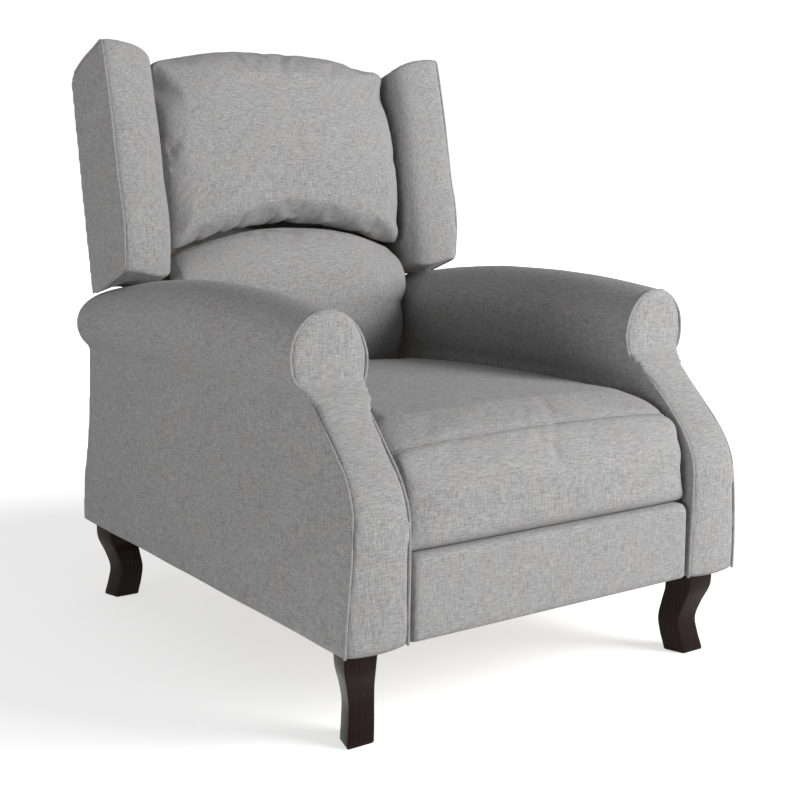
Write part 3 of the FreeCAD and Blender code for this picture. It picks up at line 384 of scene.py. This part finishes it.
def curve_points(pts, step=3 * MM):
    """Smooth line through points, a point every step."""
    p = [Vector(v) for v in pts]
    p = [p[0] * 2 - p[1]] + p + [p[-1] * 2 - p[-2]]
    out = []
    for i in range(1, len(p) - 2):
        a, b, c, d = p[i - 1:i + 3]
        ta = max((b - a).length, 1e-6) ** 0.5
        tb = max((c - b).length, 1e-6) ** 0.5
        tc = max((d - c).length, 1e-6) ** 0.5
        m1 = (c - b + ((b - a) / ta - (c - a) / (ta + tb)) * tb)
        m2 = (c - b + ((d - c) / tc - (d - b) / (tb + tc)) * tb)
        n = max(2, int((c - b).length / step))
        for k in range(n):
            t = k / n
            h = ((2 * t - 3) * t * t + 1, ((t - 2) * t + 1) * t,
                 (3 - 2 * t) * t * t, (t - 1) * t * t)
            out.append(b * h[0] + m1 * h[1] + c * h[2] + m2 * h[3])
    out.append(p[-2])
    return out


def tube(name, line, radius, sides=12, wobble=0.12 * MM):
    """Welt along a line with rounded ends and the slight unevenness of a fabric cord."""
    n = len(line)
    tangents = [(line[min(i + 1, n - 1)] - line[max(i - 1, 0)]).normalized() for i in range(n)]
    up = Vector((1, 0, 0)) if abs(tangents[0].x) < 0.8 else Vector((0, 1, 0))
    verts = []
    faces = []
    rings = []
    for i, (p, t) in enumerate(zip(line, tangents)):
        up = (up - t * up.dot(t)).normalized()
        side = t.cross(up)
        r = radius + wobble * noise.noise(p * 160)
        ring = []
        for k in range(sides):
            a = 2 * math.pi * k / sides
            ring.append(len(verts))
            verts.append(p + (up * math.cos(a) + side * math.sin(a)) * r)
        rings.append(ring)
    for a, b in zip(rings, rings[1:]):
        for k in range(sides):
            j = (k + 1) % sides
            faces.append((a[k], a[j], b[j], b[k]))
    ends = ((rings[0], line[0], -tangents[0], True), (rings[-1], line[-1], tangents[-1], False))
    for ring, p, t, flip in ends:
        last = ring
        for q in (0.5, 0.85):
            new = []
            for k in ring:
                new.append(len(verts))
                verts.append(p + (verts[k] - p) * math.sqrt(1 - q * q) + t * radius * q)
            for k in range(sides):
                j = (k + 1) % sides
                f = (last[k], last[j], new[j], new[k])
                faces.append(f[::-1] if flip else f)
            last = new
        tip = len(verts)
        verts.append(p + t * radius)
        for k in range(sides):
            f = (last[k], last[(k + 1) % sides], tip)
            faces.append(f[::-1] if flip else f)
    return make(name, verts, faces)


def groove(ob, line, depth, width):
    """Draws the surface in along a sewn line."""
    kd = KDTree(len(line))
    for i, p in enumerate(line):
        kd.insert(p, i)
    kd.balance()
    co = points(ob)
    nr = normals(ob)
    for i, p in enumerate(co):
        d = kd.find(Vector(p))[2]
        if d < 3 * width:
            co[i] = p - nr[i] * depth * math.exp(-(d / width) ** 2)
    put(ob, co)


def dress(ob, slot, body, replaced=()):
    ob.data.materials.clear()
    ob.data.materials.append(finishes[slot])
    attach(ob, body)
    if replaced:
        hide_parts(*replaced)
    return ob


def flipped(line, s):
    return [Vector((p.x * s, p.y, p.z)) for p in line]


# Arms: the front face is crowned below and on the roll, the rest is slightly uneven
FACE_CROWN = 5.0 * MM
FACE_BACK = -0.33
ROLL_START = 0.47
PANEL_SPAN = (327.0, 52.0)
ROLL_SPAN = (316.0, 63.0)
for side, s in (("right", 1), ("left", -1)):
    names = [side + "_arm_front_panel", side + "_arm_side", side + "_arm_roll"]
    arm = soft_copy(side + "_arm_cover", names, 4.5 * MM)
    co = points(arm)
    nr = normals(arm)
    for i, (p, n) in enumerate(zip(co, nr)):
        if n[1] < -0.5 and p[1] < FACE_BACK:
            x = abs(p[0]) * 1000
            centre, half = PANEL_SPAN if p[2] < ROLL_START else ROLL_SPAN
            t = max(0.0, 1 - ((x - centre) / half) ** 2)
            co[i] = p + n * (FACE_CROWN * t)
        else:
            co[i] = p + n * (noise.noise(Vector(p) * 9) * 1.2 * MM)
    put(arm, co)
    dress(arm, "linen", "base", names)

# Welts round the face of each arm and under its roll
WELT_R = 2.6 * MM


def mm(*pts):
    return [(a * MM, b * MM, c * MM) for a, b, c in pts]


face_line = curve_points(mm(
    (378.8, -471, 148), (376.8, -473, 200), (374.3, -474, 232), (371.2, -475, 270), (367.3, -474, 312),
    (364.6, -471, 338), (362.0, -461, 363), (359.6, -446, 386), (358.6, -420, 414), (357.6, -389, 445),
    (356.5, -360, 474), (359.5, -346, 487), (366.5, -340.5, 497), (374.5, -338.8, 508),
    (378.4, -338.8, 524), (378.6, -338.8, 541), (374.6, -338.8, 561),
    (362.2, -338.8, 580.5), (343.5, -338.8, 594.3), (320, -338.8, 599.4), (296.5, -338.8, 594.6),
    (276.6, -338.8, 581.2), (262.2, -338.8, 561), (254.2, -338.8, 534), (255.0, -338.8, 514),
    (260.5, -340.5, 494), (266.5, -350, 480), (271.5, -364, 466), (274.7, -389, 445), (275.7, -420, 414),
    (275.7, -446, 386), (275.7, -461, 363), (275.7, -472, 338), (275.7, -475, 285), (275.7, -473, 215),
    (275.7, -471, 148)))
under_line = curve_points(mm(*((356, y, 476.7) for y in (-338, -200, 0, 250, 455))))
for side, s in (("right", 1), ("left", -1)):
    w = dress(tube(side + "_arm_face_welt", flipped(face_line, s), WELT_R), "linen_welt", "base")
    if side == "right":
        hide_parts("arm_welts")
    dress(tube(side + "_arm_roll_welt", flipped(under_line, s), WELT_R), "linen_welt", "base")


# Seat cushion
SEAT_EDGE = 0.262
LIP_TIP = 0.2721
LIP_FORWARD = 13 * MM
LIP_EXTRA = 2 * MM
SEAT_NOSE = -0.4795


def seat_proud(co, nr):
    front = np.clip((-0.40 - co[:, 1]) / 0.03, 0, 1)
    top = np.clip((nr[:, 2] - 0.3) / 0.4, 0, 1)
    return 0.6 * MM + np.maximum(front * 5 * MM, top * 7 * MM) * (np.abs(co[:, 0]) < SEAT_EDGE)


def seat_lip(co):
    """1 at the thin front edge under the cushion, which keeps its form."""
    return np.clip((-0.395 - co[:, 1]) / 0.01, 0, 1) * np.clip((0.325 - co[:, 2]) / 0.03, 0, 1)


seat = soft_copy("seat_cover", ["seat_cushion"], 5 * MM, 2)
inflate(seat, ["seat_cushion"], 5 * MM, 24 * MM, seat_proud, firm=seat_lip)

# The lower front edge comes down to just above the footrest panel
co = points(seat)
low = np.clip((0.335 - co[:, 2]) / 0.055, 0, 1) * np.clip((-0.405 - co[:, 1]) / 0.015, 0, 1)
low = low * low * (3 - 2 * low)
columns = np.linspace(-0.264, 0.264, 34)
tips = [co[(abs(co[:, 0] - x) < 9 * MM) & (co[:, 1] < -0.41)][:, 2].min() for x in columns]
co[:, 1] -= LIP_FORWARD * low
co[:, 2] -= (np.interp(co[:, 0], columns, tips) - LIP_TIP + LIP_EXTRA) * low
co[:, 2] = np.where(low > 0, np.maximum(co[:, 2], LIP_TIP), co[:, 2])
co[:, 1] = np.maximum(co[:, 1], SEAT_NOSE)
put(seat, co)
seat_tree = BVHTree.FromObject(seat, bpy.context.evaluated_depsgraph_get())


def on_seat(x):
    """Point of the front seam on the cover at x millimetres."""
    s = abs(x) / 271.5
    y = -425 - 4 * s * s
    slope = Vector((0, 0.08, -0.10)).normalized()
    hit = seat_tree.ray_cast(Vector((x * MM, y * MM - 0.08, 0.52)), slope)
    return hit[0] if hit[0] is not None else Vector((x * MM, y * MM, (420 - 15 * s * s) * MM))


seat_seam = [on_seat(x) for x in range(-266, 267, 4)]
groove(seat, seat_seam, 2.6 * MM, 6 * MM)
dress(seat, "linen", "seat", ["seat_cushion"])
seam_line = curve_points([p - Vector((0, 0, 1.4 * MM)) for p in seat_seam[::4]])
dress(tube("seat_front_seam", seam_line, 1.5 * MM, 8, 0.1 * MM), "linen_welt", "seat")


# Back cushions
def lumbar_proud(co, nr):
    face = np.clip((-nr[:, 1] - 0.2) / 0.5, 0, 1)
    return 0.4 * MM + face * 6 * MM * (np.abs(co[:, 0]) < 0.235)


lumbar = soft_copy("lumbar_cover", ["lumbar_cushion"], 5 * MM, 3)
inflate(lumbar, ["lumbar_cushion"], 4 * MM, 22 * MM, lumbar_proud)
dress(lumbar, "linen", "back", ["lumbar_cushion"])

head = soft_copy("head_cover", ["head_cushion"], 5 * MM, 3)
inflate(head, ["head_cushion"], 4 * MM, 22 * MM, lumbar_proud)
co = points(head)
nr = normals(head)

# Puckers over the arched seam: place across in metres, height in millimetres
PUCKERS = [(-0.196, 34), (-0.150, 30), (-0.112, 36), (-0.038, 34),
           (0.012, 26), (0.058, 38), (0.128, 30), (0.182, 30)]
ARCH_TOP = 0.695
ARCH_DROP = 0.046
ARCH_HALF = 0.249
PUCKER_REACH = 0.12


def bell(distance, width):
    return math.exp(-(distance / width) ** 2)


for i, (p, n) in enumerate(zip(co, nr)):
    above = p[2] - (ARCH_TOP - ARCH_DROP * (p[0] / ARCH_HALF) ** 2)
    if n[1] < 0 and above < PUCKER_REACH:
        up = above * 1000
        pull = sum(bell(p[0] - x - 0.10 * (above - 0.02), 0.0045) * bell(up / h, 1) for x, h in PUCKERS)
        puff = sum(bell(p[0] - x - 0.016, 0.012) * bell(up / h - 0.4, 1) for x, h in PUCKERS)
        co[i] = p - n * (2.4 * pull - 1.2 * puff) * MM
put(head, co)
dress(head, "linen", "back", ["head_cushion"])

# Wings
WING_WELT_X = 358.8
wing_edge = [
    (350, 598.5), (322, 608), (294, 617.6), (276, 624.2), (268.8, 629.5), (266.2, 638), (264.6, 665),
    (264, 698), (270.6, 742), (281.9, 782.1), (292.4, 837.1), (303.9, 899.1), (317.9, 961.1),
    (329.9, 1009.1), (333.2, 1018.6), (338.9, 1022.5), (346.9, 1020.1), (378.9, 1009.7),
    (412.9, 999.1), (438.9, 988.5), (462.9, 977.1)]
wing_line = curve_points(mm(*((WING_WELT_X, y, z) for y, z in wing_edge)))
for side, s in (("right", 1), ("left", -1)):
    wing = soft_copy(side + "_wing_cover", [side + "_wing_pad"], 4 * MM, 2)
    co = points(wing)
    nr = normals(wing)
    for i, (p, n) in enumerate(zip(co, nr)):
        co[i] = p + n * (noise.noise(Vector(p) * 14) * 1.0 * MM)
    put(wing, co)
    dress(wing, "linen", "back", [side + "_wing_pad"])
    w = dress(tube(side + "_wing_welt", flipped(wing_line, s), WELT_R), "linen_welt", "back")
    if side == "right":
        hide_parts("wing_welts")

# Outside back and footrest
back = soft_copy("outside_back_cover", ["outside_back"], 5 * MM, 4)
co = points(back)
nr = normals(back)
for i, (p, n) in enumerate(zip(co, nr)):
    if n[1] > 0.5:
        t = max(0.0, 1 - (p[0] / 0.35) ** 4)
        co[i] = p + n * ((1.5 * t + noise.noise(Vector(p) * 7) * 0.8) * MM)
put(back, co)
dress(back, "linen", "back", ["outside_back"])

foot = soft_copy("footrest_cover", ["footrest_pad"], 4 * MM, 4)
dress(foot, "linen", "footrest", ["footrest_pad"])

# Legs
LEG_X = 354
LEG_Y = -436
LEG_SKEW = 10
LEG_TOP = 145
LEG_EDGE = 3.0
FOOT_EDGE = 1.6
leg_stations = [(0, 0, 45, 37), (28, -5.5, 44, 37), (56, -9, 43, 37),
                (84, -2.5, 46, 40), (112, 7, 52, 45), (LEG_TOP, 8, 56, 48)]


def leg_at(z):
    """Outward shift, width and depth of a leg at a height, by a smooth curve through its stations."""
    for i in range(len(leg_stations) - 1):
        if z <= leg_stations[i + 1][0]:
            break
    a = leg_stations[max(i - 1, 0)]
    b, c = leg_stations[i:i + 2]
    d = leg_stations[min(i + 2, len(leg_stations) - 1)]
    t = (z - b[0]) / (c[0] - b[0])
    out = []
    for k in (1, 2, 3):
        p = (a[k], b[k], c[k], d[k])
        out.append(0.5 * (2 * p[1] + (p[2] - p[0]) * t + (2 * p[0] - 5 * p[1] + 4 * p[2] - p[3]) * t * t
                          + (3 * p[1] - p[0] - 3 * p[2] + p[3]) * t ** 3))
    return out


def leg_mesh(name, sx, sy):
    """Leg with rounded corners through its stations; sx and sy are its side and end of the chair."""
    verts = []
    rings = []
    levels = [0, 0.6, 2] + [5 + i * 4.0 for i in range(34)] + [141, 143.5, 144.8]
    for z in levels:
        out, wide, deep = leg_at(min(z, LEG_TOP))
        draw = FOOT_EDGE * (1 - min(z, 2) / 2)
        x = LEG_X + out
        y = LEG_Y - out
        corners = [(x, y), (x - LEG_SKEW, y + deep), (x - LEG_SKEW - wide, y + deep), (x - wide, y)]
        mid = (sum(c[0] for c in corners) / 4, sum(c[1] for c in corners) / 4)
        ring = []
        for k in range(4):
            p = Vector(corners[k])
            to_prev = (Vector(corners[k - 1]) - p).normalized()
            to_next = (Vector(corners[(k + 1) % 4]) - p).normalized()
            a = p + to_prev * LEG_EDGE
            b = p + to_next * LEG_EDGE
            for t in (0.0, 0.25, 0.5, 0.75, 1.0):
                v = a * (1 - t) ** 2 + p * 2 * t * (1 - t) + b * t * t
                v = v + (Vector(mid) - v).normalized() * draw
                ring.append(len(verts))
                verts.append(Vector((v.x * sx * MM, v.y * sy * MM, z * MM)))
        rings.append(ring)
    faces = []
    flip = sx * sy < 0
    for a, b in zip(rings, rings[1:]):
        for k in range(len(a)):
            j = (k + 1) % len(a)
            f = (a[k], a[j], b[j], b[k])
            faces.append(f if flip else f[::-1])
    faces.append(tuple(rings[0][::-1] if flip else rings[0]))
    faces.append(tuple(rings[-1] if flip else rings[-1][::-1]))
    return make(name, verts, faces)


for side, sx in (("right", 1), ("left", -1)):
    for end, sy in (("front", 1), ("rear", -1)):
        leg = leg_mesh(f"{side}_{end}_leg_turned", sx, sy)
        dress(leg, "espresso_wood", "base", [f"{side}_{end}_leg"])

# Floor: its own glow is only seen, and grows towards the white background
FLOOR_GLOW = 0.62
FLOOR_NEAR = 1.1
FLOOR_RISE = 0.45
fv = [(-14, -14, 0), (14, -14, 0), (14, 14, 0), (-14, 14, 0)]
floor = make("floor", fv, [(0, 1, 2, 3)], smooth=False)
mat, tree, out = new_material("floor")
diff = tree.nodes.new("ShaderNodeBsdfDiffuse")
diff.inputs[0].default_value = (0.80, 0.80, 0.80, 1)
em = tree.nodes.new("ShaderNodeEmission")
em.inputs[0].default_value = (1, 1, 1, 1)
lp = tree.nodes.new("ShaderNodeLightPath")
seen = math_node(tree, "MAXIMUM", lp.outputs["Is Camera Ray"], lp.outputs["Is Glossy Ray"])
seen = math_node(tree, "MAXIMUM", seen, lp.outputs["Is Transmission Ray"])
tc = tree.nodes.new("ShaderNodeTexCoord")
away = tree.nodes.new("ShaderNodeVectorMath")
away.operation = "LENGTH"
link(tree, tc.outputs["Object"], away.inputs[0])
rise = math_node(tree, "SUBTRACT", away.outputs["Value"], FLOOR_NEAR)
rise = math_node(tree, "MULTIPLY", rise, FLOOR_RISE, clamp=True)
glow = math_node(tree, "ADD", rise, FLOOR_GLOW)
link(tree, math_node(tree, "MULTIPLY", seen, glow), em.inputs[1])
add = tree.nodes.new("ShaderNodeAddShader")
link(tree, diff.outputs[0], add.inputs[0])
link(tree, em.outputs[0], add.inputs[1])
link(tree, add.outputs[0], out.inputs[0])
floor.data.materials.append(mat)

# World: white where it is seen, a plain grey light on the object
world = bpy.data.worlds.new("studio")
scene.world = world
world.use_nodes = True
tree = world.node_tree
tree.nodes.clear()
out = tree.nodes.new("ShaderNodeOutputWorld")
bg = tree.nodes.new("ShaderNodeBackground")
lp = tree.nodes.new("ShaderNodeLightPath")
seen = math_node(tree, "MAXIMUM", lp.outputs["Is Camera Ray"], lp.outputs["Is Transmission Ray"])
AMBIENT = 0.22
SEEN_WHITE = 1.05
bg.inputs[0].default_value = (1, 1, 1, 1)
seen = math_node(tree, "MULTIPLY", seen, SEEN_WHITE - AMBIENT)
link(tree, math_node(tree, "ADD", seen, AMBIENT), bg.inputs[1])
link(tree, bg.outputs[0], out.inputs[0])


def area(name, place, aim, size, power):
    data = bpy.data.lights.new(name, "AREA")
    data.shape = "RECTANGLE"
    data.size, data.size_y = size
    data.energy = power
    ob = bpy.data.objects.new(name, data)
    ob.location = place
    ob.rotation_euler = (Vector(aim) - Vector(place)).to_track_quat("-Z", "Y").to_euler()
    scene.collection.objects.link(ob)


area("front_light", (2.6, -3.3, 2.1), (0, 0, 0.55), (2.0, 2.0), 186)
area("side_light", (-4.0, -0.8, 0.6), (0, 0, 0.45), (2.0, 1.2), 40)

# Camera, fitted to the photograph
FOCAL_PIXELS = 1311.18
FRAME_PIXELS = 800
CAMERA_PLACE = (-1.2655, -1.8879, 0.7671)
AZ = math.radians(-34.606)
EL = math.radians(9.166)
ROLL = math.radians(-0.18)
cam_data = bpy.data.cameras.new("camera")
cam_data.sensor_width = 36
cam_data.lens = FOCAL_PIXELS * cam_data.sensor_width / FRAME_PIXELS
cam = bpy.data.objects.new("camera", cam_data)
forward = Vector((-math.sin(AZ) * math.cos(EL), math.cos(AZ) * math.cos(EL), -math.sin(EL)))
cam.location = CAMERA_PLACE
cam.rotation_mode = "QUATERNION"
cam.rotation_quaternion = forward.to_track_quat("-Z", "Y") @ Matrix.Rotation(ROLL, 4, "Z").to_quaternion()
cam_data.clip_end = 100
scene.collection.objects.link(cam)
scene.camera = cam
scene.view_settings.view_transform = "Standard"
